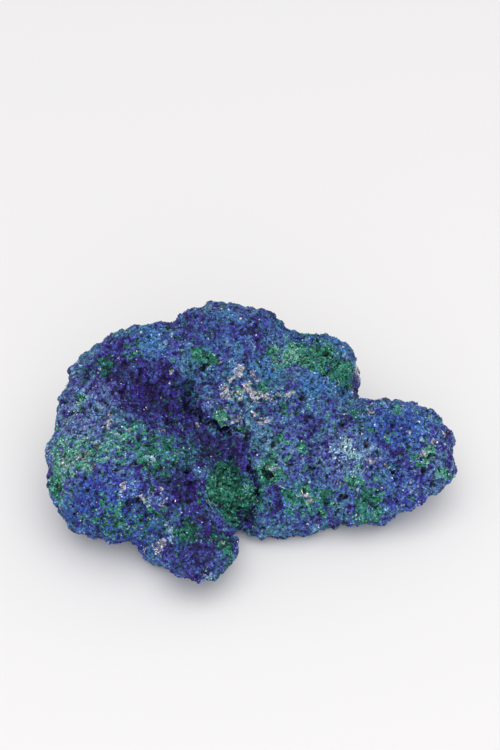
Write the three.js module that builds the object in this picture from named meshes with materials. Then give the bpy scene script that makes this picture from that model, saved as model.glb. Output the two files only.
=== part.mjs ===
// A rough hand specimen of azurite with malachite: one natural lump, grown as one piece.
// Millimetres, +Z up, +X along the lump's length, -Y towards its front. The origin is under the
// middle of the lump's box, on the ground.
// The lump is described as blunt masses that melt into each other, less the hollows weathered out
// of them, under a knobby surface. Its skin is meshed on a grid of cubic cells, and it is flat
// where it rests on the ground.

import * as THREE from "three";
import { ImprovedNoise } from "three/addons/math/ImprovedNoise.js";

// Each mass: its centre, its half sizes, its squareness (2 is an ellipsoid, more is blockier),
// its turn about X, Y and Z in degrees, and how far it melts into the masses before it.
const MASSES = [
  {
    name: "core",
    at: [-4, 5, 11], half: [18, 13, 9], square: 2.5, turn: [0, 0, 0], melt: 4,
  },
  {
    name: "left boulder",
    at: [-22, -1, 9.8], half: [14.6, 15, 10.7], square: 2.6, turn: [0, 0, 0], melt: 3,
  },
  {
    name: "left flank",
    at: [-25.5, 5.5, 11.5], half: [11, 10.5, 8.5], square: 3, turn: [0, 0, 0], melt: 3,
  },
  {
    name: "ridge",
    at: [-20.5, 15, 17.8], half: [13.5, 8.5, 9], square: 3, turn: [30, -16, 18], melt: 3,
  },
  {
    name: "rear hump",
    at: [-6, 21.5, 16], half: [10, 8.5, 12.4], square: 3.5, turn: [20, 6, -5], melt: 2,
  },
  {
    name: "upper slope",
    at: [-2.5, 17, 15.5], half: [12.5, 13, 7], square: 3, turn: [27, 0, 0], melt: 4,
  },
  {
    name: "rear block",
    at: [12, 18.6, 10.5], half: [9.5, 8.5, 10.6], square: 4, turn: [-6, 0, 0], melt: 2,
  },
  {
    name: "middle block",
    at: [5, 2.8, 10.2], half: [14, 16, 5.7], square: 3, turn: [37, 0, 0], melt: 2,
  },
  {
    name: "middle belly",
    at: [6, 4, 7.5], half: [13, 11, 7], square: 2.8, turn: [0, 0, 0], melt: 4,
  },
  {
    name: "right lobe",
    at: [23.4, 1, 9.2], half: [15.2, 11.2, 5.8], square: 2.6, turn: [35, 0, 9], melt: 3,
  },
  {
    name: "lobe belly",
    at: [19, 4.5, 8.8], half: [14, 8.5, 6.3], square: 2.8, turn: [10, -5, 5], melt: 4,
  },
  {
    name: "valley floor",
    at: [-15, -2.5, 9.3], half: [11, 12, 5.7], square: 2.4, turn: [32, 28, 0], melt: 4,
  },
  {
    name: "foot",
    at: [-8.6, -15.5, 6.2], half: [8, 12, 5.4], square: 1.65, turn: [0, 0, 0], melt: 3,
  },
  {
    name: "heel of the foot",
    at: [-15, -13.5, 4], half: [5, 5.5, 4.5], square: 2.3, turn: [0, 0, 0], melt: 1,
  },
];

// Each hollow is described in the same way, and is cut from everything above.
const HOLLOWS = [
  {
    name: "upper valley",
    at: [-12, 0.5, 21], half: [13, 4.5, 5], square: 2, turn: [0, 20, -33], melt: 3,
  },
  {
    name: "lower valley",
    at: [-3, -9, 11], half: [8, 2.5, 4.5], square: 2, turn: [0, 35, -65], melt: 2,
  },
  {
    name: "under the middle",
    at: [-4, 9, -1], half: [13, 9, 5], square: 2.2, turn: [0, 0, 30], melt: 3,
  },
  {
    name: "under the lobe's end",
    at: [39, -10, -1.4], half: [12.5, 9.6, 14], square: 2, turn: [48, 0, 0], melt: 2,
  },
];

const SWELLS = { size: 11, height: 1 }; // broad rise and fall of the surface
const KNOBS = { size: 4.6, height: 1.6, mean: 0.2 }; // round knobs with creases between them
const GROUND = 0; // height of the surface that the lump rests on
const CELL = 1.6; // side of the grid's cells
const MARGIN = 4; // width of empty grid around the masses
const FAR = 1000; // farther off than any part of the lump

const DEGREE = Math.PI / 180;
const noise = new ImprovedNoise();
const local = new THREE.Vector3();

// Adds to a mass or hollow the matrix that takes a point into its own turned axes.
function placed(mass) {
  const turn = new THREE.Euler(...mass.turn.map((angle) => angle * DEGREE), "ZYX");
  const matrix = new THREE.Matrix4().makeRotationFromEuler(turn).setPosition(...mass.at);
  return { ...mass, toOwnAxes: matrix.invert() };
}

const masses = MASSES.map(placed);
const hollows = HOLLOWS.map(placed);

// Distance from a point to a mass's skin, measured towards its centre: negative inside.
function toMass(point, { toOwnAxes, half, square }) {
  local.copy(point).applyMatrix4(toOwnAxes);
  const shares = local.toArray().map((length, axis) => Math.abs(length / half[axis]) ** square);
  const reach = (shares[0] + shares[1] + shares[2]) ** (1 / square);
  return reach > 0 ? local.length() * (1 - 1 / reach) : -Math.min(...half);
}

// The smaller of two distances, with the crease between their skins filled over a width of melt.
function joined(a, b, melt) {
  const overlap = Math.max(melt - Math.abs(a - b), 0) / melt;
  return Math.min(a, b) - (overlap * overlap * melt) / 4;
}

// How far swells and knobs lift the skin at a point.
function lift({ x, y, z }) {
  const swell = noise.noise(x / SWELLS.size, y / SWELLS.size, z / SWELLS.size);
  const knob = noise.noise(x / KNOBS.size, y / KNOBS.size, z / KNOBS.size);
  return SWELLS.height * swell + KNOBS.height * (Math.abs(knob) - KNOBS.mean);
}

// Distance from a point to the lump's skin: negative inside.
function toLump(point) {
  let distance = FAR;
  for (const mass of masses) distance = joined(distance, toMass(point, mass), mass.melt);
  for (const hollow of hollows) {
    distance = -joined(-distance, toMass(point, hollow), hollow.melt);
  }
  return distance - lift(point);
}

// A grid cell's corners, numbered by their steps along X, Y and Z, worth 1, 2 and 4.
const CORNERS = [0, 1, 2, 3, 4, 5, 6, 7].map((n) => [n & 1, (n >> 1) & 1, n >> 2]);

// Its edges, four along each axis, in the order near, across, over, across and over.
const EDGES = [];
for (let axis = 0; axis < 3; axis++) {
  const across = 1 << (axis + 1) % 3;
  const over = 1 << (axis + 2) % 3;
  for (const start of [0, across, over, across + over]) {
    EDGES.push({ start, end: start + (1 << axis), axis });
  }
}

// Its faces, each as the four edges around it.
const FACES = [];
for (let axis = 0; axis < 3; axis++) {
  for (const side of [0, 1]) {
    const onFace = (corner) => CORNERS[corner][axis] === side;
    FACES.push(EDGES.filter(({ start, end }) => onFace(start) && onFace(end)));
  }
}

// The grid that holds every mass, with the distance to the lump's skin at each of its points.
// Points are numbered along X first, then Y, then Z, and a step is the number added along an axis.
function sampledGrid() {
  const box = new THREE.Box3();
  for (const { at, half } of MASSES) {
    const reach = new THREE.Vector3().setScalar(2 * Math.max(...half) + 2 * MARGIN);
    box.union(new THREE.Box3().setFromCenterAndSize(new THREE.Vector3(...at), reach));
  }
  const [nx, ny, nz] = box.getSize(new THREE.Vector3()).divideScalar(CELL).ceil().toArray();
  const placeOf = (n) => {
    const place = new THREE.Vector3(n % nx, Math.floor(n / nx) % ny, Math.floor(n / (nx * ny)));
    return place.multiplyScalar(CELL).add(box.min);
  };
  const distances = Array.from({ length: nx * ny * nz }, (_, n) => toLump(placeOf(n)));
  return { distances, placeOf, steps: [1, nx, nx * ny] };
}

// Sorts the edges that the skin crosses in one cell into its separate sheets there.
function sheetsOf(inside) {
  const crossed = ({ start, end }) => inside[start] !== inside[end];
  const innerEnd = ({ start, end }) => (inside[start] ? start : end);
  let sheets = EDGES.filter(crossed).map((edge) => [edge]);
  const join = (one, other) => {
    const parts = sheets.filter((sheet) => sheet.includes(one) || sheet.includes(other));
    sheets = [...sheets.filter((sheet) => !parts.includes(sheet)), parts.flat()];
  };
  for (const face of FACES) {
    const cuts = face.filter(crossed);
    for (const one of cuts) {
      for (const other of cuts) {
        if (cuts.length === 2 || innerEnd(one) === innerEnd(other)) join(one, other);
      }
    }
  }
  return sheets;
}

// Where a sheet of the skin lies in its cell: the mean of the places where it crosses edges.
function middleOf(sheet, distances) {
  const middle = new THREE.Vector3();
  for (const { start, end, axis } of sheet) {
    const crossing = new THREE.Vector3(...CORNERS[start]);
    crossing.setComponent(axis, distances[start] / (distances[start] - distances[end]));
    middle.addScaledVector(crossing, CELL / sheet.length);
  }
  return middle;
}

// One vertex for each sheet of the skin in each cell, none of them under the ground, and the
// number of the vertex at each edge of each cell.
function skinVertices({ distances, placeOf, steps }) {
  const cornerSteps = CORNERS.map(([x, y, z]) => x * steps[0] + y * steps[1] + z * steps[2]);
  const positions = [];
  const vertexAt = new Map();
  for (let cell = 0; cell < distances.length - Math.max(...cornerSteps); cell++) {
    const around = cornerSteps.map((step) => distances[cell + step]);
    const inside = around.map((distance) => distance < 0);
    if (inside.every((sign) => sign === inside[0])) continue;
    for (const sheet of sheetsOf(inside)) {
      const vertex = middleOf(sheet, around).add(placeOf(cell));
      for (const edge of sheet) {
        vertexAt.set(cell * EDGES.length + EDGES.indexOf(edge), positions.length / 3);
      }
      positions.push(vertex.x, vertex.y, Math.max(vertex.z, GROUND));
    }
  }
  return { positions, vertexAt };
}

// Two triangles across each grid edge that the skin crosses, joining the four cells around it.
function skinTriangles({ distances, steps }, vertexAt) {
  const triangles = [];
  for (const [n, distance] of distances.entries()) {
    for (let axis = 0; axis < 3; axis++) {
      const inside = distance < 0;
      const beyond = distances[n + steps[axis]];
      if (beyond === undefined || inside === beyond < 0) continue;
      const across = steps[(axis + 1) % 3];
      const over = steps[(axis + 2) % 3];
      const cells = [n, n - across, n - across - over, n - over];
      const edges = [0, 1, 3, 2].map((edge) => axis * 4 + edge);
      const quad = cells.map((cell, k) => vertexAt.get(cell * EDGES.length + edges[k]));
      const [a, b, c, d] = inside ? quad : quad.reverse();
      triangles.push(a, b, c, a, c, d);
    }
  }
  return triangles;
}

function lumpGeometry() {
  const grid = sampledGrid();
  const { positions, vertexAt } = skinVertices(grid);
  const geometry = new THREE.BufferGeometry();
  geometry.setAttribute("position", new THREE.Float32BufferAttribute(positions, 3));
  geometry.setIndex(skinTriangles(grid, vertexAt));
  geometry.computeBoundingBox();
  const middle = geometry.boundingBox.getCenter(new THREE.Vector3());
  geometry.translate(-middle.x, -middle.y, -GROUND);
  geometry.computeVertexNormals();
  return geometry;
}

const stone = new THREE.MeshStandardMaterial({ color: 0x33428f, roughness: 0.75, metalness: 0 });
const lump = new THREE.Mesh(lumpGeometry(), stone);
lump.name = "azurite_lump";

const specimen = new THREE.Group();
specimen.add(lump);

export default specimen;
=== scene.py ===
"""An azurite specimen: one rough natural lump of azurite, crusted all over with tiny blue crystals,
with green malachite, pale calcite and a few ochre specks, lying on a plain pale floor."""

import math

import bmesh
import bpy
import numpy as np
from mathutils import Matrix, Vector


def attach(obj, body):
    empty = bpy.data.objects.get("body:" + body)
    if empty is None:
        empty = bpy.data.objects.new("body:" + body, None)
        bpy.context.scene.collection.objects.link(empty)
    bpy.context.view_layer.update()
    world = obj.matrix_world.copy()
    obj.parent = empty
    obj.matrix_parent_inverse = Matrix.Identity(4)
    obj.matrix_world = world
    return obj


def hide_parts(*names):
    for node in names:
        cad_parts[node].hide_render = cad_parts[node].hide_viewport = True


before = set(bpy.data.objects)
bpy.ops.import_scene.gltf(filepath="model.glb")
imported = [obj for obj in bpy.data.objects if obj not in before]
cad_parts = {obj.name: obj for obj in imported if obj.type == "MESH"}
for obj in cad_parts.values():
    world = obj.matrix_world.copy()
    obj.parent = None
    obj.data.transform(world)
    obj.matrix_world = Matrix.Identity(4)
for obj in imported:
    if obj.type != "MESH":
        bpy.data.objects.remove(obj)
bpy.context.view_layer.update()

# ---------------------------------------------------------------- The lump
# The specimen is one natural lump, grown as one piece: porous azurite rock, knobbly and pitted all
# over. Its skin is a dense closed mesh over the plain solid. The clefts and holes are sunk into it
# first, and the knobs, pores and crystal faces are raised from it after.

MM = 0.001
LUMP_NAME = "azurite_rock"
MERGE = 0.001 * MM

# How wide the skin's faces are while the clefts are sunk, and from then on.
FIRST_CELL = 0.28 * MM
SKIN_CELL = 0.365 * MM

# The solid's facets are eased away in rounds. In each, a vertex moves this share of its way to the
# middle of its neighbours.
EASE_ROUNDS = 50
EASE_SHARE = 0.6

# How far over or under the skin the place of a cleft, a hole or a patch may be, in mm.
SLACK = 1.8

# Waves that make plain outlines wander: each one's reach in mm, how fast it runs, how many axes on
# is the one that it reads, and where it starts along each axis.
CLEFT_WAVES = ((0.35, 1.9, 1, 0), (0.2, 4.1, 2, 0))
HOLE_WAVES = (*CLEFT_WAVES, (0.5, 3.3, 1, (0, 2, 4)))

# How far a cleft's low and high slopes run, in half widths, and which share of that is its floor.
LOW_SLOPE = 1.8
HIGH_SLOPE = 0.8
CLEFT_FLOOR = 0.3
# Where the sunk ground on a cleft's low side starts to rise again, in half widths.
LOW_START = 0.5
# How far from its ends, in mm, a cleft reaches its whole depth.
CLEFT_TAPER = 2.4
# Where a hole's floor ends and where its rim lies, as shares of its reach.
HOLE_FLOOR = 0.3
HOLE_RIM = 1.3

# The knobs, the pores and the flat faces come in rounds: each round's size and height as a share of
# those that the relief is given.
KNOB_ROUNDS = ((1.0, 0.9), (0.46, 0.46), (0.24, 0.24))
PORE_ROUNDS = ((1.0, 1.0), (0.5, 0.6))
FACE_ROUNDS = ((1.0, 1.0), (5.0, 0.8))
# How far from a knob's middle the skin stays as it is, and where a pore's floor ends and its rim
# lies, all as shares of their size.
KNOB_FOOT = 0.45
PORE_FLOOR = 0.08
PORE_RIM = 0.32
# Each pore draws a number. Up to the first of these it is left out, and from the second it is deep.
PORE_NONE = 0.30
PORE_DEEP = 0.62

# Hollows are found by easing the skin: how many rounds, the depths in mm at which a hollow starts
# and is full, and how much it counts.
HOLLOW_ROUNDS = ((10, 0.07, 0.36, 1.0), (70, 0.6, 2.0, 0.35))
# In a hollow the relief is lower by up to this share. That starts where the hollow's own number,
# which runs from 0 to 1, passes the first of these, and is whole at the second.
CALM = 0.8
CALM_FROM = 0.3
CALM_TO = 0.9

# Each cleft: points along its bottom, half its width, its depth, and how far and how deep the
# ground is sunk on its low side, in mm. A cleft runs with its high side on its left.
CLEFTS = (
    (((-11.8, 6.8, 22), (-10.7, 5.2, 20), (-10.1, 2.7, 19.2), (-9, 0.9, 18.2), (-7.1, -0.8, 17.8),
      (-5.3, -2.1, 18.2), (-3.6, -2.7, 19)), 0.7, 3.0, 3.6, 2.0),
    (((-1.1, -1.4, 19.9), (-1.1, -2.9, 19.3), (-1.1, -5.1, 18.3), (-0.7, -7.1, 17), (0.3, -9, 15.8),
      (0.9, -10.3, 13.8), (0.9, -10.8, 11.1), (0.6, -11.6, 7.8), (0.1, -13, 5.2), (-0.5, -13.7, 3.3),
      (-0.7, -15, -1)), 0.6, 3.4, 3.8, 1.9),
    (((-36, 12, 18.5), (-34, 10.9, 20.6), (-31.8, 8.4, 23.1), (-29.8, 8.2, 24.2), (-27.9, 8.7, 25)),
     0.6, 2.4, 3.0, 1.5),
    (((13, -4, 16.5), (17, -3, 16.6), (21, -1.5, 17)), 0.4, 1.4, 1.0, 0.3),
    (((-32, -17.5, 14.5), (-25, -18, 15.5), (-19, -18, 14.5)), 0.5, 1.2, 2.0, 0.5),
    (((6, 27, 10), (2, 26, 17), (-4, 23, 24)), 0.6, 2.6, 3.4, 1.4),
    (((-32, 20, 6), (-24, 22, 13), (-15, 22, 21)), 0.6, 2.4, 3.2, 1.3),
    (((31, 8, 3), (28, 9, 10), (21, 9, 17)), 0.6, 2.2, 3.0, 1.1),
)

# Each hole: its place, reach and depth in mm.
HOLES = (
    (2.9, -10.2, 14, 1.3, 2.6),
    (3.6, -9.9, 15.2, 0.9, 1.8),
    (5.4, 14, 22.3, 0.8, 2.2),
    (6.6, 14, 22.2, 0.6, 1.8),
    (-34, 1, 19, 0.9, 1.3),
    (-31, 1, 20, 0.7, 1.4),
    (0.3, -5, 19, 0.8, 1.4),
    (-9, 9, 24, 1.0, 1.5),
    (-2, 3, 21, 0.8, 1.2),
    (14, -11.5, 9.5, 1.1, 1.4),
    (17, -11.5, 9.5, 0.9, 1.6),
    (29, -8.5, 10.5, 0.6, 1.0),
    (-18, -18.5, 12, 1.2, 1.3),
    (-35, -12, 13, 1.0, 1.4),
    (12, 24, 14, 1.6, 2.2),
    (-12, 25, 12, 1.3, 2.0),
    (-33, 16, 12, 1.1, 1.8),
    (22, 16, 11, 1.2, 1.8),
)


def new_piece(name, mesh):
    """A mesh as an object of the scene."""
    piece = bpy.data.objects.new(name, mesh)
    bpy.context.scene.collection.objects.link(piece)
    return piece


def settle(piece):
    """Turns what the piece's modifiers make into its plain mesh."""
    graph = bpy.context.evaluated_depsgraph_get()
    mesh = bpy.data.meshes.new_from_object(
        piece.evaluated_get(graph), preserve_all_data_layers=True, depsgraph=graph
    )
    piece.modifiers.clear()
    piece.data = mesh
    mesh.name = piece.name


def reskin(piece, cell):
    """Covers the piece with a closed skin of even faces."""
    skin = piece.modifiers.new("skin", "REMESH")
    skin.mode = "VOXEL"
    skin.voxel_size = cell
    skin.adaptivity = 0
    skin.use_smooth_shade = True
    settle(piece)


def read_places(mesh):
    """The places of the mesh's vertices, in mm."""
    places = np.empty(len(mesh.vertices) * 3)
    mesh.vertices.foreach_get("co", places)
    return places.reshape(-1, 3) / MM


def write_places(mesh, places):
    """Moves the mesh's vertices to these places in mm."""
    mesh.vertices.foreach_set("co", (places * MM).ravel())
    mesh.update()


def read_normals(mesh):
    """The directions that the mesh's vertices face."""
    normals = np.empty(len(mesh.vertices) * 3)
    mesh.vertex_normals.foreach_get("vector", normals)
    return normals.reshape(-1, 3)


def drawn_together(mesh, values, rounds):
    """The vertices' rows of values once each is drawn towards its neighbours' many times."""
    ends = np.empty(len(mesh.edges) * 2, int)
    mesh.edges.foreach_get("vertices", ends)
    first, second = ends.reshape(-1, 2).T
    start = np.concatenate((first, second))
    end = np.concatenate((second, first))
    count = np.bincount(start)[:, None]
    for _ in range(rounds):
        sums = [np.bincount(start, values[end, axis]) for axis in range(3)]
        values = values + EASE_SHARE * (np.stack(sums, 1) / count - values)
    return values


def smoothed(mesh):
    """Where the mesh's vertices lie, in mm, without its facets. What the easing takes off the whole
    shape is given back."""
    places = read_places(mesh)
    soft = drawn_together(mesh, places, EASE_ROUNDS)
    soft = soft - drawn_together(mesh, soft - places, EASE_ROUNDS)
    soft[:, 2] = np.maximum(soft[:, 2], 0)
    return soft


def aside(offsets, normals):
    """How long the offsets are along the skin. A mark may lie a little over or under the skin."""
    above = np.sum(offsets * normals, axis=1)
    return np.sqrt(np.maximum(np.sum(offsets**2, axis=1) - np.minimum(above**2, SLACK**2), 0))


def from_path(places, normals, path):
    """How far each place is from a path, whether it is on the path's left as seen from above (then the
    number is above 0), and how far along the path it is from the nearer end."""
    nearest = np.full(len(places), np.inf)
    side = np.zeros(len(places))
    passed = np.zeros(len(places))
    length = 0
    for start, end in zip(np.array(path[:-1], float), np.array(path[1:], float)):
        along = end - start
        share = np.clip((places - start) @ along / (along @ along), 0, 1)
        off = places - (start + share[:, None] * along)
        distance = aside(off, normals)
        closer = distance < nearest
        nearest[closer] = distance[closer]
        side[closer] = (along[0] * off[:, 1] - along[1] * off[:, 0])[closer]
        passed[closer] = length + share[closer] * np.linalg.norm(along)
        length += np.linalg.norm(along)
    return nearest, side, np.minimum(passed, length - passed)


def rise(value, low, high):
    """0 below low, 1 above high, and smooth in between."""
    share = np.clip((value - low) / (high - low), 0, 1)
    return share * share * (3 - 2 * share)


def wandering(places, waves):
    """The places, each moved aside by all the waves."""
    moved = places
    for reach, pace, step, start in waves:
        moved = moved + reach * np.sin(np.roll(places, -step, axis=1) * pace + start)
    return moved


def sink_clefts(mesh):
    """Sinks the clefts and the holes into the skin."""
    places, normals = read_places(mesh), read_normals(mesh)
    wavy = wandering(places, CLEFT_WAVES)
    depth = np.zeros(len(places))
    for path, half_width, cleft_depth, low_reach, low_depth in CLEFTS:
        distance, side, from_end = from_path(wavy, normals, path)
        reach = np.where(side < 0, LOW_SLOPE, HIGH_SLOPE) * half_width
        cleft = cleft_depth * (1 - rise(distance / reach, CLEFT_FLOOR, 1))
        low = low_depth * (1 - rise(distance, LOW_START * half_width, low_reach)) * (side < 0)
        depth = np.maximum(depth, (cleft + low) * rise(from_end, 0, CLEFT_TAPER))
    ragged = wandering(places, HOLE_WAVES)
    for x, y, z, reach, hole_depth in HOLES:
        distance = aside(ragged - (x, y, z), normals)
        hole = hole_depth * (1 - rise(distance, HOLE_FLOOR * reach, HOLE_RIM * reach))
        depth = np.maximum(depth, hole)
    write_places(mesh, places - depth[:, None] * normals)


class Wire:
    """An output socket in a node tree. Sums on wires add Math nodes."""

    def __init__(self, tree, socket=None):
        self.tree = tree
        self.socket = socket

    def node(self, kind, settings, inputs, output=0):
        """Adds a node, sets it, gives its sockets their values or wires, and returns one output's wire."""
        made = self.tree.nodes.new(kind)
        for name, value in settings.items():
            if name == "stops":
                while len(made.color_ramp.elements) < len(value):
                    made.color_ramp.elements.new(1.0)
                for element, (position, colour) in zip(made.color_ramp.elements, value):
                    element.position = position
                    element.color = colour
            else:
                setattr(made, name, value)
        for key, value in inputs.items():
            if isinstance(value, Wire):
                self.tree.links.new(value.socket, made.inputs[key])
            else:
                made.inputs[key].default_value = value
        return Wire(self.tree, made.outputs[output])

    def also(self, output):
        """Another output of the node that this wire comes from."""
        return Wire(self.tree, self.socket.node.outputs[output])

    def maths(self, operation, *values):
        """A Math node of these values or wires."""
        return self.node("ShaderNodeMath", {"operation": operation}, dict(enumerate(values)))

    def vectors(self, operation, *values, output=0):
        """A Vector Math node of these values or wires."""
        return self.node("ShaderNodeVectorMath", {"operation": operation}, dict(enumerate(values)), output)

    def scaled(self, times):
        """This wire's vector made longer by a number."""
        return self.node("ShaderNodeVectorMath", {"operation": "SCALE"}, {0: self, "Scale": times})

    def __add__(self, other):
        return self.maths("ADD", self, other)

    __radd__ = __add__

    def __mul__(self, other):
        return self.maths("MULTIPLY", self, other)

    __rmul__ = __mul__

    def __sub__(self, other):
        return self.maths("SUBTRACT", self, other)

    def __rsub__(self, other):
        return self.maths("SUBTRACT", other, self)

    def __rtruediv__(self, other):
        return self.maths("DIVIDE", other, self)

    def __gt__(self, other):
        return self.maths("GREATER_THAN", self, other)

    def __lt__(self, other):
        return self.maths("LESS_THAN", self, other)

    def clamped(self):
        """This wire's number, kept from 0 to 1."""
        return self.node("ShaderNodeClamp", {}, {0: self})

    def parts(self):
        """The first part of this wire's vector. The other two are also(1) and also(2)."""
        return self.node("ShaderNodeSeparateXYZ", {}, {0: self})

    def joined(self, second, third):
        """A vector of three numbers, of which this wire is the first."""
        return self.node("ShaderNodeCombineXYZ", {}, {0: self, 1: second, 2: third})

    def between(self, low, high):
        """0 below low, 1 above high, and smooth in between."""
        settings = {"interpolation_type": "SMOOTHSTEP"}
        return self.node("ShaderNodeMapRange", settings, {"Value": self, "From Min": low, "From Max": high})

    def noise(self, size, detail=2.0, roughness=0.5):
        """Cloudy noise from 0 to 1 at the places that this wire holds. size is its grain in mm."""
        values = {"Vector": self, "Scale": 1 / size, "Detail": detail, "Roughness": roughness}
        return self.node("ShaderNodeTexNoise", {}, values)

    def bent(self, pace, reach, detail=2.0):
        """This wire's places, each moved aside by up to reach mm. pace is how many bends a mm has."""
        values = {"Vector": self, "Scale": pace, "Detail": detail}
        bend = self.node("ShaderNodeTexNoise", {}, values, "Color")
        return self.vectors("ADD", self, bend.scaled(reach))

    def cells(self, size):
        """Distance from the nearest cell's middle, in cells, at the places that this wire holds."""
        return self.node("ShaderNodeTexVoronoi", {}, {"Vector": self, "Scale": 1 / size})

    def facets(self, cell):
        """Height in mm of a flat face that leans its own way in each cell of this wire's places."""
        lean = self.vectors("SUBTRACT", cell.also("Color"), (0.5, 0.5, 0.5))
        off = self.vectors("SUBTRACT", self, cell.also("Position"))
        return self.vectors("DOT_PRODUCT", off, lean, output="Value")


def new_tree(name, inputs):
    """A geometry tree with these inputs, each a socket type, and the wires from them by name."""
    tree = bpy.data.node_groups.new(name, "GeometryNodeTree")
    tree.is_modifier = True
    tree.interface.new_socket("Geometry", in_out="OUTPUT", socket_type="NodeSocketGeometry")
    for socket_name, kind in inputs.items():
        tree.interface.new_socket(socket_name, in_out="INPUT", socket_type=kind)
    entry = tree.nodes.new("NodeGroupInput")
    return tree, {name: Wire(tree, entry.outputs[name]) for name in inputs}


def use_tree(piece, tree, values):
    """Runs a geometry tree on the piece with these inputs and keeps the result as plain mesh."""
    modifier = piece.modifiers.new(tree.name, "NODES")
    modifier.node_group = tree
    for socket in tree.interface.items_tree:
        if socket.in_out == "INPUT" and socket.name in values:
            modifier[socket.identifier] = values[socket.name]
    settle(piece)


def read_value(start, name):
    """In a geometry tree, the number that each vertex keeps under this name."""
    return start.node("GeometryNodeInputNamedAttribute", {"data_type": "FLOAT"}, {"Name": name})


def kept_off_floor(geometry):
    """In a geometry tree, the geometry with what reaches below the floor's level raised to it."""
    place = geometry.node("GeometryNodeInputPosition", {}, {}).parts()
    raised = place.joined(place.also(1), place.maths("MAXIMUM", place.also(2), 0.0))
    return geometry.node("GeometryNodeSetPosition", {}, {"Geometry": geometry, "Position": raised})


def write_value(mesh, name, values):
    """Keeps a number for each vertex, which the trees and the finishes read by name."""
    kept = mesh.attributes.get(name) or mesh.attributes.new(name, "FLOAT", "POINT")
    kept.data.foreach_set("value", values.astype(np.float32))


def mark_hollows(mesh):
    """Writes how deep in a hollow each vertex lies, from 0 to 1."""
    places, normals = read_places(mesh), read_normals(mesh)
    hollow = np.zeros(len(places))
    for rounds, shallow, deep, weight in HOLLOW_ROUNDS:
        below = np.sum((drawn_together(mesh, places, rounds) - places) * normals, axis=1)
        hollow = np.maximum(hollow, weight * rise(below, shallow, deep))
    write_value(mesh, "hollow", hollow)


def build_relief_tree():
    """Raises rounds of knobs and flat faces along the skin's normals, lower in the hollows, and sinks
    pores into it. All heights and sizes are in mm."""
    length = "NodeSocketFloat"
    tree, given = new_tree("crust_relief", {
        "Geometry": "NodeSocketGeometry",
        "Swell Size": length, "Swell Height": length,
        "Knob Size": length, "Knob Height": length,
        "Face Size": length, "Face Slope": length,
        "Pore Size": length, "Pore Depth": length,
    })
    start = Wire(tree)
    place = start.node("GeometryNodeInputPosition", {}, {}).scaled(1 / MM)
    bent = place.bent(0.45, 2.2, 3.0)
    height = (place.noise(given["Swell Size"], 4.0, 0.6) - 0.5) * given["Swell Height"]
    for size, share in KNOB_ROUNDS:
        knobs = bent.cells(given["Knob Size"] * size)
        height = height + (KNOB_FOOT - knobs) * given["Knob Height"] * share
    for size, share in FACE_ROUNDS:
        faces = bent.facets(bent.cells(given["Face Size"] * size))
        height = height + faces * given["Face Slope"] * share
    for size, share in PORE_ROUNDS:
        pores = bent.cells(given["Pore Size"] * size)
        deep = pores.also("Color").parts().between(PORE_NONE, PORE_DEEP)
        pore = (1 - pores.between(PORE_FLOOR, PORE_RIM)) * deep
        height = height - pore * given["Pore Depth"] * share
    calm = 1 - CALM * read_value(start, "hollow").between(CALM_FROM, CALM_TO)
    push = start.node("GeometryNodeInputNormal", {}, {}).scaled(height * calm * MM)
    moved = start.node("GeometryNodeSetPosition", {}, {"Geometry": given["Geometry"], "Offset": push})
    end = tree.nodes.new("NodeGroupOutput")
    tree.links.new(kept_off_floor(moved).socket, end.inputs["Geometry"])
    return tree


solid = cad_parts["azurite_lump"]
skin_mesh = bmesh.new()
skin_mesh.from_mesh(solid.data)
bmesh.ops.remove_doubles(skin_mesh, verts=skin_mesh.verts, dist=MERGE)
body_mesh = bpy.data.meshes.new(LUMP_NAME)
skin_mesh.to_mesh(body_mesh)
skin_mesh.free()
rock = new_piece(LUMP_NAME, body_mesh)
reskin(rock, FIRST_CELL)
write_places(rock.data, smoothed(rock.data))
sink_clefts(rock.data)
reskin(rock, SKIN_CELL)
mark_hollows(rock.data)
use_tree(rock, build_relief_tree(), {
    "Swell Size": 8.0, "Swell Height": 2.9,
    "Knob Size": 4.6, "Knob Height": 1.6,
    "Face Size": 0.8, "Face Slope": 0.3,
    "Pore Size": 3.2, "Pore Depth": 1.4,
})

# ---------------------------------------------------------------- The crust's colours
# The crust is azurite, from near-black indigo to sky blue, with malachite, calcite, pale blue
# chrysocolla and a little ochre limonite. Each mineral keeps to its own patches, which fray
# into single grains at their edges.

# This many clefts, the first ones, part the dark valley from the middle block. On their high side
# the valley's indigo is cut to this share within a margin in mm.
BLOCK_CLEFTS = 2
BLOCK_MARGIN = 6.0
BLOCK_SHARE = 0.1

# Waves that make the patches' outlines wander, as for the clefts, and where a patch starts to thin
# and where it ends, as shares of its reach.
PATCH_WAVES = ((0.5, 1.3, 2, 0), (0.3, 2.9, 1, 0))
PATCH_CORE = 0.55
PATCH_END = 1.35

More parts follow.
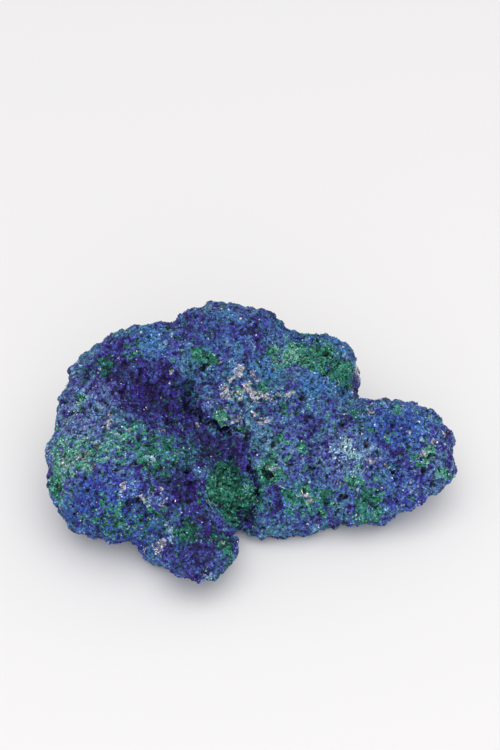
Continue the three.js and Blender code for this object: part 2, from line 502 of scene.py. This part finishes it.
# Each patch: its place and reach in mm, and how much of the ground the mineral takes there.
PATCHES = {
    "malachite": (
        (-5, -9, 10, 4.6, 1.0), (-3, -11, 8, 4.0, 1.0), (-0.5, -11, 9.5, 3.0, 1.0),
        (3, -10, 14.5, 3.0, 0.9), (4.5, -9, 15.5, 1.8, 0.7),
        (-9, 10, 26, 1.5, 1.0), (-7.8, 10, 25, 1.6, 1.0),
        (5, 13, 23, 2.6, 0.7), (9, 15, 22, 3.4, 0.9), (13, 14, 21, 3.2, 1.0),
        (18, 12.5, 20, 3.2, 1.0), (15, 17, 21, 2.6, 0.7),
        (-5.5, -0.5, 19.5, 1.9, 0.9),
        (-34.5, -8.5, 17.5, 3.8, 0.65), (-30, -9.5, 18, 3.8, 0.5), (-25.5, -9, 20, 3.2, 0.4),
        (-21, -6, 20.5, 3.2, 0.55), (-17.5, -9.5, 19.5, 4.0, 0.65), (-14, -9, 18.5, 3.4, 0.6),
        (-11, -6, 17, 2.6, 0.4),
        (-36, -12, 13, 3.0, 0.9), (-25, -18.5, 11.5, 4.6, 0.45), (-19, -19, 12.5, 3.0, 0.4),
        (-11, -21, 11.5, 2.6, 0.8), (-5, -22, 9, 1.9, 0.8),
        (5, -4, 18, 1.1, 0.9), (6.5, -4.5, 17.5, 0.8, 0.8), (10, -5, 16.5, 1.3, 1.0),
        (19, 3, 18, 1.1, 0.9), (26, -1, 16.5, 1.1, 0.9),
        (32, -4, 13.5, 1.9, 0.8), (29.5, -4, 14, 1.2, 0.7), (19, -10, 12.5, 1.8, 0.9),
        (9, -11.5, 9.5, 3.0, 0.8),
        (21.5, -12, 7.5, 3.4, 0.6), (13.5, -12, 8.5, 2.4, 0.45), (36, -6, 10, 1.6, 0.7),
        (27, 4, 17, 1.4, 0.6), (2.5, 5.5, 21, 1.6, 0.6), (7, 4, 20.5, 2.0, 0.5),
        (-2, 4.5, 21.3, 1.4, 0.6),
        (-27, 8, 25.5, 1.7, 0.9), (-22, 9, 27, 1.2, 0.6), (-31, 3, 20.5, 1.2, 0.5),
        (-13, 1, 19, 2.2, 0.4),
        (10, 24, 15, 5.0, 0.8), (-6, 25, 16, 3.4, 0.6), (-20, 20, 16, 5.0, 0.7),
        (-33, 13, 10, 4.2, 0.6), (26, 13, 10, 4.6, 0.8), (34, 6, 7, 2.6, 0.6),
        (-16, 6, 1, 6.0, 0.6), (11, -2, 3, 5.0, 0.6), (-28, -8, 2, 4.0, 0.5), (18, 8, 2, 5.0, 0.4),
    ),
    "indigo": (
        (-24, 6, 24.5, 5.0, 0.9), (-18, 4, 22, 5.5, 1.0), (-12.5, 3, 19, 5.5, 1.0),
        (-6.5, -3.5, 16.5, 5.0, 1.0), (-3, -7, 15, 3.8, 1.0), (-13, -14, 16, 4.6, 0.8),
        (-9, -21, 11, 5.5, 0.9), (-11, -26, 8, 4.6, 0.7), (-1, -12.5, 6, 3.0, 0.8),
        (-29, 6, 22, 3.0, 0.6), (-10, 15.5, 28, 4.0, 0.45), (-3, 17, 28, 3.0, 0.3),
        (2.5, 17, 26, 3.2, 0.6),
        (-6, 20, 20, 6.0, 0.7), (20, 14, 12, 4.0, 0.6), (-28, 16, 16, 5.0, 0.7),
        (0, 2, 2, 9.0, 0.6),
    ),
    "royal": (
        (-27, -18, 14, 7.5, 1.0), (-33, -15, 12, 5.0, 0.8), (-22, -19, 9, 6.0, 0.9),
        (30, -9, 9, 5.0, 0.5), (28, 1, 17, 5.5, 0.9), (10, 22, 20, 5.0, 0.6), (-15, 26, 10, 6.0, 0.7),
    ),
    "dusty": (
        (-31, -1, 20, 7.5, 1.0), (-36, -3, 17, 6.0, 1.0), (-26, -5, 21, 5.0, 0.8),
        (-34, 8, 21, 4.0, 0.6), (18, -5, 15, 5.5, 0.8), (6, -6, 17, 6.0, 0.35),
        (-8, 3, 19.5, 2.6, 0.6), (-4.5, 0.5, 19.5, 3.0, 0.6), (-33, -9, 17, 6.0, 0.9),
        (-26, -9, 19.5, 5.0, 0.5), (33, -6, 11, 5.0, 0.6), (7, 14, 22.5, 4.5, 0.8),
        (-36, 10, 12, 6.0, 0.7), (24, 20, 12, 6.0, 0.6),
    ),
    "azure": (
        (13, 8.5, 20.5, 3.6, 1.0), (18, 10, 18.5, 3.0, 1.0), (2.5, 9.5, 22.5, 3.6, 0.8),
        (-20, 13, 29, 2.6, 0.8), (-18, 10, 27, 2.4, 0.6), (24, 0, 17.5, 3.0, 0.6), (29, 0.5, 17, 4.2, 0.7),
        (16, 21, 20, 5.5, 0.8), (7, 18, 24, 5.0, 0.5), (-5, 14, 27, 5.0, 0.4), (-14, -22, 10, 2.0, 0.5),
        (9, -11, 9, 4.5, 0.4), (-25, 24, 8, 5.0, 0.7), (33, 2, 6, 4.0, 0.5),
    ),
    "aqua": (
        (17.8, -3.4, 15.5, 1.2, 1.0), (19, -5.2, 14.5, 1.2, 1.0), (16, -4.4, 15.8, 1.0, 0.6),
        (17.5, -5, 15, 2.6, 0.3), (-14.5, -17.8, 10.5, 0.7, 1.0), (-14.5, -19.2, 10, 0.7, 1.0),
        (-14.6, -20.8, 9.1, 0.7, 1.0), (-7.7, -27.6, 8.1, 0.6, 0.8), (-6.8, -28, 6.5, 0.6, 0.8),
        (-5.6, -27.4, 5.5, 0.6, 0.8), (-18, -10.5, 19.6, 0.9, 0.7),
        (4, 26, 12, 1.6, 0.7), (-30, 18, 6, 1.4, 0.7),
    ),
    "pale": (
        (-4.2, 5.6, 21, 1.2, 0.7), (-3.4, 8, 22.4, 0.8, 0.5), (-1.8, 4.6, 20.8, 1.0, 0.5),
        (0, 5.6, 21.1, 1.3, 0.8), (1.8, 5, 20.8, 1.0, 0.6), (-2.4, 9, 23, 0.8, 0.6),
        (0.6, 8.6, 22, 0.8, 0.5), (3.6, 4.4, 20.4, 0.9, 0.4), (6, 5, 21, 1.0, 0.3),
        (8, 5.2, 21, 0.7, 1.0), (2.4, -0.9, 19.4, 0.8, 1.0), (1, 0.6, 20, 0.55, 1.0),
        (-26, -3, 21, 0.8, 0.5), (-20.6, -16.3, 16.7, 1.1, 0.12), (-18, -16.9, 15.6, 1.5, 0.18),
        (-16.2, -17, 14.4, 1.4, 0.2), (-17, -21.4, 6.2, 1.6, 0.6), (-22.6, -15.6, 17, 1.0, 0.4),
        (-31, -10, 18, 1.6, 0.2), (-34, -9.6, 17, 1.2, 0.2), (-2.5, -1.5, 20, 0.7, 0.8),
        (31.5, -3.5, 13.5, 0.7, 0.8), (22, -6, 14, 0.6, 0.8), (10, -11, 9.5, 0.9, 0.7),
        (-3, 24, 18, 2.0, 0.6), (20, 18, 14, 1.4, 0.6), (-24, 22, 14, 1.6, 0.6),
    ),
    "ochre": (
        (22, 3, 18, 2.0, 0.5), (-34, -7, 18, 1.1, 0.6), (-32, -9, 18, 0.9, 0.5), (-29, -7, 19, 0.9, 0.5),
        (-6.2, 10, 25, 1.0, 0.8), (12, -11.5, 9, 1.6, 0.3), (14, 23, 12, 1.8, 0.4), (-18, 24, 12, 1.5, 0.4),
    ),
}


def mark_patches(mesh):
    """Writes how much of the ground each mineral takes at each vertex."""
    places, normals = read_places(mesh), read_normals(mesh)
    wavy = wandering(places, PATCH_WAVES)
    for mineral, patches in PATCHES.items():
        share = np.zeros(len(places))
        for x, y, z, reach, most in patches:
            distance = aside(wavy - (x, y, z), normals)
            patch = most * (1 - rise(distance, PATCH_CORE * reach, PATCH_END * reach))
            share = np.maximum(share, patch)
        if mineral == "indigo":
            for cleft in CLEFTS[:BLOCK_CLEFTS]:
                distance, side, _ = from_path(places, normals, cleft[0])
                share[(side > 0) & (distance < BLOCK_MARGIN)] *= BLOCK_SHARE
        write_value(mesh, mineral, share)


def paint(red, green, blue):
    """A colour from its screen levels, 0 to 255."""
    levels = np.array((red, green, blue)) / 255
    linear = np.where(levels <= 0.04045, levels / 12.92, ((levels + 0.055) / 1.055) ** 2.4)
    return (*linear.tolist(), 1.0)


BLUES = (
    (0.00, paint(26, 12, 78)), (0.20, paint(54, 32, 134)), (0.38, paint(74, 66, 172)),
    (0.54, paint(78, 106, 182)), (0.70, paint(84, 132, 184)), (0.86, paint(112, 160, 196)),
    (1.00, paint(176, 192, 222)),
)
GREENS = (
    (0.00, paint(18, 62, 60)), (0.30, paint(34, 108, 92)), (0.58, paint(62, 148, 124)),
    (0.82, paint(100, 176, 152)), (1.00, paint(156, 208, 188)),
)
CALCITES = ((0.0, paint(134, 134, 178)), (0.5, paint(184, 184, 198)), (1.0, paint(228, 225, 220)))
CHRYSOCOLLAS = ((0.0, paint(118, 168, 200)), (1.0, paint(184, 214, 228)))
OCHRES = ((0.0, paint(150, 144, 134)), (1.0, paint(210, 204, 190)))
DUST = paint(140, 156, 200)
TEAL = paint(76, 150, 164)
ROYAL = paint(40, 76, 206)
AZURE = paint(62, 138, 206)

# An azurite tone runs from 0 to 1 along the blues. It is made of its middle, of how far chance, a
# broad drift and a fine one move it, and of what its patches add. Indigo calms the two drifts.
TONE_MIDDLE = 0.45
TONE_BY_CHANCE = 0.7
TONE_BY_DRIFT = 1.5
TONE_BY_FRAY = 1.8
TONE_CALM = 0.25
TONE_INDIGO = -0.31
TONE_AZURE = 0.12
TONE_DUSTY = 0.10
# How much of each colour shows where it is laid over the blues most thickly.
TEAL_COVER = 0.8
DUST_COVER = 0.55
AZURE_COVER = 0.6
ROYAL_COVER = 0.62

# The same for malachite along the greens.
GREEN_MIDDLE = 0.48
GREEN_BY_CHANCE = 0.6
GREEN_BY_DRIFT = 1.7
GREEN_DUSTY = 0.30
GREEN_INDIGO = -0.22

# How wide the knobs are that are each of one mineral, in mm, and the share of them that a mineral
# takes far from its patches and where its patches are thickest.
KNOB = 0.85
MALACHITE_ALONE = 0.03
MALACHITE_MOST = 0.9
OCHRE_MOST = 0.15
CALCITE_ALONE = 0.004
CALCITE_MOST = 1.25

# Each pinhole is shade painted into the colour. The share of light that a pinhole gives back, how
# much more the ground around it does, the noise's grain in mm, and where in the noise a pinhole's
# wall starts and ends.
PINHOLE_LIGHT = 0.03
GROUND_LIGHT = 1.1
PINHOLE_GRAIN = 0.6
PINHOLE_FLOOR = 0.41
PINHOLE_RIM = 0.49

# The width of the rock's own grains and of the specks on them, in mm, and how much painted shade
# darkens the rock and the crystals deep in a hollow.
GRAIN = 0.52
SPECK = 0.27
ROCK_HOLLOW_PAINTED_SHADE = 0.93
CRYSTAL_HOLLOW_PAINTED_SHADE = 0.85


def over(under, top, share):
    """One colour laid over another. share is how much of it shows."""
    return share.node("ShaderNodeMix", {"data_type": "RGBA"}, {0: share, 6: under, 7: top}, 2)


def toned(colour, level):
    """The colour made lighter or darker by a number."""
    settings = {"data_type": "RGBA", "blend_type": "MULTIPLY"}
    return level.node("ShaderNodeMix", settings, {0: 1.0, 6: colour, 7: level.joined(level, level)}, 2)


def zone(place, name):
    """The number that the piece's vertices keep under this name, such as a mineral's share."""
    return place.node("ShaderNodeAttribute", {"attribute_name": name}, {}, "Fac")


def ramp(position, stops):
    """The colour at a position from 0 to 1 along these stops."""
    return position.node("ShaderNodeValToRGB", {"stops": stops}, {0: position})


def azurite_colour(place, shade, hue):
    """Azurite at a place in mm, by its patches. shade and hue are left to chance, from 0 to 1."""
    indigo, dusty, azure = zone(place, "indigo"), zone(place, "dusty"), zone(place, "azure")
    drift = place.noise(3.6, 3.0, 0.65)
    fray = place.noise(1.1, 3.0, 0.65)
    drifts = (drift - 0.5) * TONE_BY_DRIFT + (fray - 0.5) * TONE_BY_FRAY
    tone = TONE_MIDDLE + (shade - 0.5) * TONE_BY_CHANCE + drifts * (1 - TONE_CALM * indigo)
    tone = tone + TONE_INDIGO * indigo + TONE_AZURE * azure + TONE_DUSTY * dusty
    teal = (place.noise(1.3, 3.0, 0.7) + 0.6 * place.noise(5.5, 2.0)).between(0.76, 0.94)
    teal = teal * (1 - 0.8 * indigo) * (0.4 + 0.6 * hue)
    colour = over(ramp(tone, BLUES), TEAL, (TEAL_COVER * teal).clamped())
    colour = over(colour, DUST, (dusty * DUST_COVER * fray.between(0.40, 0.62)).clamped())
    colour = over(colour, AZURE, (azure * AZURE_COVER * drift.between(0.30, 0.55)).clamped())
    return over(colour, ROYAL, (zone(place, "royal") * ROYAL_COVER * hue).clamped())


def malachite_colour(place, shade):
    """Malachite at a place in mm, lighter on dusty ground and darker on indigo."""
    drift = (place.noise(1.6, 3.0, 0.65) - 0.5) * GREEN_BY_DRIFT
    lighter = GREEN_DUSTY * zone(place, "dusty") + GREEN_INDIGO * zone(place, "indigo")
    return ramp(GREEN_MIDDLE + (shade - 0.5) * GREEN_BY_CHANCE + drift + lighter, GREENS)


def frayed(place, share, most):
    """The share of the ground that a mineral takes, broken up towards its patch's edge."""
    return share * most + (place.noise(1.4, 3.0, 0.65) - 0.5) * 1.3 * share.maths("SQRT", share)


def crust_colour(place, own_shade):
    """The crust's colour at a place. Each knob about a millimetre wide is of one mineral, which its
    patches make likely, and has a tone of its own. own_shade varies the tone within the knob."""
    kind = place.bent(0.8, 1.6).cells(KNOB).also("Color").parts()
    third = kind.also(2)
    shade = kind.also(1) * 0.5 + own_shade * 0.5
    green = MALACHITE_ALONE + frayed(place, zone(place, "malachite"), MALACHITE_MOST)
    pale = CALCITE_ALONE + zone(place, "pale") * CALCITE_MOST
    pick = place.maths("FRACT", third * 7.31)
    colour = azurite_colour(place, shade, third)
    colour = over(colour, malachite_colour(place, shade), kind < green)
    colour = over(colour, ramp(shade, OCHRES), pick < zone(place, "ochre") * OCHRE_MOST)
    colour = over(colour, ramp(shade, CHRYSOCOLLAS), third < zone(place, "aqua"))
    return over(colour, ramp(shade, CALCITES), (1 - third) < pale)


def painted_pinhole_shade(place):
    """The share of light that the crust's colour gives back at a place: little in each fine
    pinhole, whose shade is painted.
    """
    noise = place.bent(1.7, 0.9).noise(PINHOLE_GRAIN, 4.0, 0.8)
    return PINHOLE_LIGHT + GROUND_LIGHT * noise.between(PINHOLE_FLOOR, PINHOLE_RIM)


def new_finish(name):
    """A material, the wire that starts its tree, and its shader."""
    finish = bpy.data.materials.new(name)
    finish.use_nodes = True
    return finish, Wire(finish.node_tree), finish.node_tree.nodes["Principled BSDF"]


def object_place(start):
    """The place on the piece, in mm."""
    return start.node("ShaderNodeTexCoord", {}, {}, "Object").scaled(1 / MM)


def feed(shader, values):
    """Gives the shader's sockets their values or wires."""
    for name, value in values.items():
        if isinstance(value, Wire):
            value.tree.links.new(value.socket, shader.inputs[name])
        else:
            shader.inputs[name].default_value = value


def make_rock_finish():
    """Rough rock between the crystals, with shade painted into the gaps between its grains, its
    hollows and each pinhole. A few specks are glossier.
    """
    finish, start, shader = new_finish("azurite_crust")
    place = object_place(start)
    bent = place.bent(1.6, 0.35)
    grain = bent.cells(GRAIN)
    speck = bent.cells(SPECK)
    speck_chance = speck.also("Color").parts()
    colour = crust_colour(place, grain.also("Color").parts().also(1) * 0.55 + speck_chance * 0.45)
    # Painted shade: each grain darkens towards its cell's edge, in the gaps between grains, and the hollows
    # and each pinhole are darkened too. The fine noise varies the tone at random.
    speckle_and_painted_shade = (1 - 0.45 * grain.between(0.35, 0.75)) * (0.35 + 1.3 * place.noise(0.22, 1.0))
    speckle_and_painted_shade = speckle_and_painted_shade * (1 - ROCK_HOLLOW_PAINTED_SHADE * zone(place, "hollow")) * painted_pinhole_shade(place)
    relief = bent.facets(grain) * 0.9 + bent.facets(speck) * 0.7 - grain * 0.16
    bump = start.node("ShaderNodeBump", {}, {"Strength": 1.0, "Distance": MM, "Height": relief})
    feed(shader, {
        "Base Color": toned(colour, speckle_and_painted_shade), "Roughness": 0.65 - 0.25 * (speck_chance.also(2) > 0.8),
        "Normal": bump, "Specular IOR Level": 0.3,
    })
    return finish


mark_patches(rock.data)
mark_hollows(rock.data)
rock_finish = make_rock_finish()
rock.data.materials.clear()
rock.data.materials.append(rock_finish)
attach(rock, "root")
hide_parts("azurite_lump")

# ---------------------------------------------------------------- The azurite crystals
# Thousands of stubby azurite crystals with chisel tips, each about half a millimetre long, have
# grown out of the rock side by side. Glossy ones lie under a second growth of duller ones.

# The chisel's corners, as shares of its size, with its foot below the skin and its edge on top.
CHISEL_CORNERS = (
    (-0.50, -0.36, -0.3), (0.50, -0.36, -0.3), (0.50, 0.36, -0.3), (-0.50, 0.36, -0.3),
    (-0.26, 0.05, 0.58), (0.30, -0.04, 0.50),
)
CHISEL_FACES = ((0, 3, 2, 1), (0, 1, 5, 4), (1, 2, 5), (2, 3, 4, 5), (3, 0, 4))

# How much narrower, shorter, wider or longer than its size a crystal may be along each axis.
LEAST_STRETCH = (0.7, 0.7, 0.8)
MOST_STRETCH = (1.25, 1.15, 1.3)
# How many places are tried, before the crowded ones are left out, on a square as wide as crystals
# stand apart.
CROWDING = 1.4
# Nothing grows deep in a hollow. The growth thins out where the hollow's own number, from 0 to 1,
# passes the first of these, and stops at the second.
BARE_FROM = 0.35
BARE_TO = 0.45
# The corners of a crystal's faces lie this far from the middle of its square of the map, as a share
# of the square.
MAP_REACH = 0.3


def new_shape(name, corners, faces):
    """A small crystal to be repeated. Its vertices know how near its tip they are, from 0 to 1,
    which the finish reads to paint light at the tip and shade at the foot.
    """
    mesh = bpy.data.meshes.new(name)
    mesh.from_pydata(corners, [], faces)
    heights = np.array(corners)[:, 2]
    write_value(mesh, "tip", (heights - heights.min()) / np.ptp(heights))
    return new_piece(name, mesh)


def build_growth_tree():
    """Grows crystals out of a skin. Sizes are in mm, and Closest is how near they stand."""
    number, whole = "NodeSocketFloat", "NodeSocketInt"
    tree, given = new_tree("crystal_growth", {
        "Geometry": "NodeSocketGeometry", "Crystal": "NodeSocketObject", "Finish": "NodeSocketMaterial",
        "Patches": "NodeSocketString", "Share": number, "Share in Patches": number,
        "Fray": number, "Bareness": number, "Closest": number, "Smallest": number,
        "Largest": number, "Slimness": number, "Lean": number, "Sink": number,
        "Lowest": number, "Seed": whole,
    })
    start = Wire(tree)

    def chance(low, high, seed_step):
        """Three numbers for each crystal, each between low and high."""
        settings = {"data_type": "FLOAT_VECTOR"}
        values = {0: low, 1: high, "Seed": given["Seed"] + seed_step}
        return start.node("FunctionNodeRandomValue", settings, values)

    place = start.node("GeometryNodeInputPosition", {}, {})
    patch = read_value(start, given["Patches"])
    fray = (place.scaled(1 / MM).noise(1.4, 3.0, 0.65) - 0.5) * given["Fray"]
    share = given["Share"] + given["Share in Patches"] * patch + fray * patch.maths("SQRT", patch)
    clump = place.scaled(1 / MM).noise(0.9, 2.0, 0.6).between(0.5 - given["Bareness"], 0.54)
    share = share * (1 - read_value(start, "hollow").between(BARE_FROM, BARE_TO)) * clump
    high_up = place.parts().also(2) > given["Lowest"] * MM
    closest = given["Closest"] * MM
    density = CROWDING / (closest * closest)
    points = start.node("GeometryNodeDistributePointsOnFaces", {"distribute_method": "POISSON"}, {
        "Mesh": given["Geometry"], "Selection": high_up, "Distance Min": closest, "Density Max": density,
        "Density Factor": share.clamped(), "Seed": given["Seed"]})
    lean = chance((-1, -1, -math.pi), (1, 1, math.pi), 1)
    leaning = start.vectors("MULTIPLY", lean, given["Lean"].joined(given["Lean"], 1.0))
    turn = start.node("FunctionNodeRotateRotation", {"rotation_space": "LOCAL"}, {
        0: points.also("Rotation"), 1: start.node("FunctionNodeEulerToRotation", {}, {0: leaning})})
    span = chance((0, 0, 0), (1, 1, 1), 2).parts()
    size = (given["Smallest"] + (given["Largest"] - given["Smallest"]) * span * span) * MM
    whole_size = size.joined(size, size * given["Slimness"])
    stretch = start.vectors("MULTIPLY", chance(LEAST_STRETCH, MOST_STRETCH, 3), whole_size)
    sunk = start.node("GeometryNodeSetPosition", {}, {
        "Geometry": points, "Offset": points.also("Normal").scaled(0 - size * given["Sink"])})
    shape = start.node("GeometryNodeObjectInfo", {}, {"Object": given["Crystal"]}, "Geometry")
    grown = start.node("GeometryNodeInstanceOnPoints", {}, {
        "Points": sunk, "Instance": shape, "Rotation": turn, "Scale": stretch})
    settings = {"data_type": "FLOAT_VECTOR", "domain": "INSTANCE"}
    told = start.node("GeometryNodeStoreNamedAttribute", settings, {
        "Geometry": grown, "Name": "chance", "Value": chance((0, 0, 0), (1, 1, 1), 4)})
    plain = start.node("GeometryNodeRealizeInstances", {}, {"Geometry": told})
    worn = start.node("GeometryNodeSetMaterial", {}, {
        "Geometry": kept_off_floor(plain), "Material": given["Finish"]})
    end = tree.nodes.new("NodeGroupOutput")
    tree.links.new(worn.socket, end.inputs["Geometry"])
    return tree


def lay_out_map(mesh, faces_each):
    """Gives each crystal its own square of the map, so that its colours don't run into the next."""
    count = len(mesh.polygons) // faces_each
    across = math.ceil(math.sqrt(count))
    loops_each = len(mesh.loops) // count
    number = np.arange(len(mesh.loops)) // loops_each
    corner = np.arange(len(mesh.loops)) % loops_each
    turn = corner * (2 * math.pi / 3)
    middle = np.stack((number % across, number // across), 1) + 0.5
    spots = (middle + MAP_REACH * np.stack((np.cos(turn), np.sin(turn)), 1)) / across
    mesh.uv_layers.new(name="OFBake").uv.foreach_set("vector", spots.astype(np.float32).ravel())


growth_tree = build_growth_tree()


def grow(name, shape, finish, values):
    """Grows one piece of crystals on the rock."""
    piece = new_piece(name, rock.data)
    use_tree(piece, growth_tree, {"Crystal": shape, "Finish": finish, **values})
    lay_out_map(piece.data, len(shape.data.polygons))
    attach(piece, "root")
    return piece


def make_crystal_finish(name, colour, roughness, gloss, sparkle=1.3):
    """Crystals, each with light painted at its tip and shade painted at its foot, and a few painted
    much lighter as glints. colour makes the colour of a place and a chance, and sparkle is how much
    lighter the lightest crystals are than the darkest: the painted glints."""
    finish, start, shader = new_finish(name)
    place = object_place(start)
    chances = start.node("ShaderNodeAttribute", {"attribute_name": "chance"}, {}, "Vector").parts()
    glint_chance = chances.also(2)
    # Painted light and shade: each crystal is painted lighter at its tip and darker at its foot, where its
    # neighbours would shade it. Its third chance, squared, paints a few crystals much lighter, as glints.
    # Deep in a hollow and in each pinhole, shade is painted too.
    painted_tip_light_and_glint = (0.6 + 0.9 * zone(place, "tip")) * (1.033 - sparkle / 3 + sparkle * glint_chance * glint_chance)
    level = painted_tip_light_and_glint * (1 - CRYSTAL_HOLLOW_PAINTED_SHADE * zone(place, "hollow")) * painted_pinhole_shade(place)
    feed(shader, {"Base Color": toned(colour(place, chances), level),
                  "Roughness": roughness, "Specular IOR Level": gloss})
    return finish


chisel = new_shape("chisel", CHISEL_CORNERS, CHISEL_FACES)
AZURITE_GROWTH = {
    "Patches": "malachite", "Share": 1.0, "Share in Patches": -0.95, "Fray": -1.1,
    "Lowest": 0.5, "Lean": 0.8, "Slimness": 1.0, "Bareness": 0.12,
}
glossy = grow("azurite_crystals", chisel, make_crystal_finish(
    "azurite_glossy", crust_colour, 0.35, 0.5), {
    **AZURITE_GROWTH, "Closest": 0.48, "Smallest": 0.40, "Largest": 0.80, "Sink": 0.45, "Seed": 3})
dull = grow("azurite_grains", chisel, make_crystal_finish(
    "azurite_dull", crust_colour, 0.6, 0.35), {
    **AZURITE_GROWTH, "Closest": 0.38, "Smallest": 0.28, "Largest": 0.52, "Sink": 0.2, "Seed": 7})

# ---------------------------------------------------------------- The malachite grains
# Malachite has grown in green crusts and tufts of fine dull grains over the azurite, thickest on
# the valley's floor, along the left boulder and on the rear block.

malachite = grow("malachite_grains", chisel, make_crystal_finish(
    "malachite", malachite_colour, 0.75, 0.15, 0.4), {
    "Patches": "malachite", "Share": 0.015, "Share in Patches": 1.0, "Fray": 1.3, "Bareness": 0.3,
    "Closest": 0.29, "Smallest": 0.25, "Largest": 0.52, "Slimness": 1.2,
    "Lean": 1.0, "Sink": 0.05, "Lowest": 0.5, "Seed": 11})

# ---------------------------------------------------------------- The calcite grains
# Pinkish-white calcite sits in a few rough clusters and in single grains all over the crust.

calcite = grow("calcite_grains", chisel, make_crystal_finish(
    "calcite", lambda place, shade: ramp(shade, CALCITES), 0.4, 0.5), {
    "Patches": "pale", "Share": 0.022, "Share in Patches": 1.35, "Fray": 1.5, "Bareness": 0.3,
    "Closest": 0.30, "Smallest": 0.22, "Largest": 0.46, "Slimness": 1.0,
    "Lean": 1.0, "Sink": 0.0, "Lowest": 0.5, "Seed": 17})

# ---------------------------------------------------------------- The chrysocolla grains
# Pale cyan chrysocolla forms a few soft clots on the right lobe and streaks on the foot.

chrysocolla = grow("chrysocolla_grains", chisel, make_crystal_finish(
    "chrysocolla", lambda place, shade: ramp(shade, CHRYSOCOLLAS), 0.6, 0.3), {
    "Patches": "aqua", "Share": 0.002, "Share in Patches": 1.6, "Fray": 0.8, "Bareness": 0.3,
    "Closest": 0.28, "Smallest": 0.26, "Largest": 0.46, "Slimness": 0.9,
    "Lean": 1.0, "Sink": 0.1, "Lowest": 0.5, "Seed": 23})

bpy.data.objects.remove(chisel)

# ---------------------------------------------------------------- Floor, light and camera
# The lump lies on a plain pale floor in an even white studio, under a broad soft light from above
# and a weaker one from the front, and is seen from the front and above.

FLOOR_HALF = 1.6
FLOOR_COLOUR = (0.82, 0.82 * 0.992, 0.82 * 0.992, 1)
STUDIO_COLOUR = (1.0, 0.988, 0.99, 1)
STUDIO_STRENGTH = 0.71

# Each light's name, place and width in metres, and power in watts.
LIGHTS = (
    ("overhead", (0.03, -0.10, 0.80), 1.0, 3.2),
    ("front", (0.05, -0.75, 0.38), 0.7, 2.1),
)

# The camera looks down by the tilt. What it faces lies a little up the picture from a place on the
# floor, and at this distance, in metres. The lens and the sensor are in mm.
VIEW_TILT = math.radians(42)
VIEW_PLACE = (-0.0002, 0.0149, 0)
VIEW_LIFT = 0.01215
VIEW_DISTANCE = 0.350
VIEW_LENS = 85
VIEW_SENSOR = 36
NEAREST_SEEN = 0.01
FURTHEST_SEEN = 20

floor_mesh = bpy.data.meshes.new("floor")
corners = [(x * FLOOR_HALF, y * FLOOR_HALF, 0) for x, y in ((-1, -1), (1, -1), (1, 1), (-1, 1))]
floor_mesh.from_pydata(corners, [], [(0, 1, 2, 3)])
floor = new_piece("floor", floor_mesh)
floor_finish, _, floor_shader = new_finish("pale_floor")
feed(floor_shader, {"Base Color": FLOOR_COLOUR, "Roughness": 0.8, "Specular IOR Level": 0.2})
floor_mesh.materials.append(floor_finish)

world = bpy.data.worlds.new("studio")
bpy.context.scene.world = world
world.use_nodes = True
feed(world.node_tree.nodes["Background"], {"Color": STUDIO_COLOUR, "Strength": STUDIO_STRENGTH})


for name, place, width, power in LIGHTS:
    data = bpy.data.lights.new(name, "AREA")
    data.size = width
    data.energy = power
    light = bpy.data.objects.new(name, data)
    light.location = place
    light.rotation_euler = (-Vector(place)).to_track_quat("-Z", "Y").to_euler()
    bpy.context.scene.collection.objects.link(light)

camera_data = bpy.data.cameras.new("view")
camera_data.lens = VIEW_LENS
camera_data.sensor_width = VIEW_SENSOR
camera_data.clip_start = NEAREST_SEEN
camera_data.clip_end = FURTHEST_SEEN
camera = bpy.data.objects.new("view", camera_data)
back = Vector((0, -math.cos(VIEW_TILT), math.sin(VIEW_TILT)))
lift = Vector((0, math.sin(VIEW_TILT), math.cos(VIEW_TILT)))
camera.location = Vector(VIEW_PLACE) + lift * VIEW_LIFT + back * VIEW_DISTANCE
camera.rotation_euler = (math.pi / 2 - VIEW_TILT, 0, 0)
bpy.context.scene.collection.objects.link(camera)
bpy.context.scene.camera = camera
bpy.context.scene.view_settings.view_transform = "Standard"
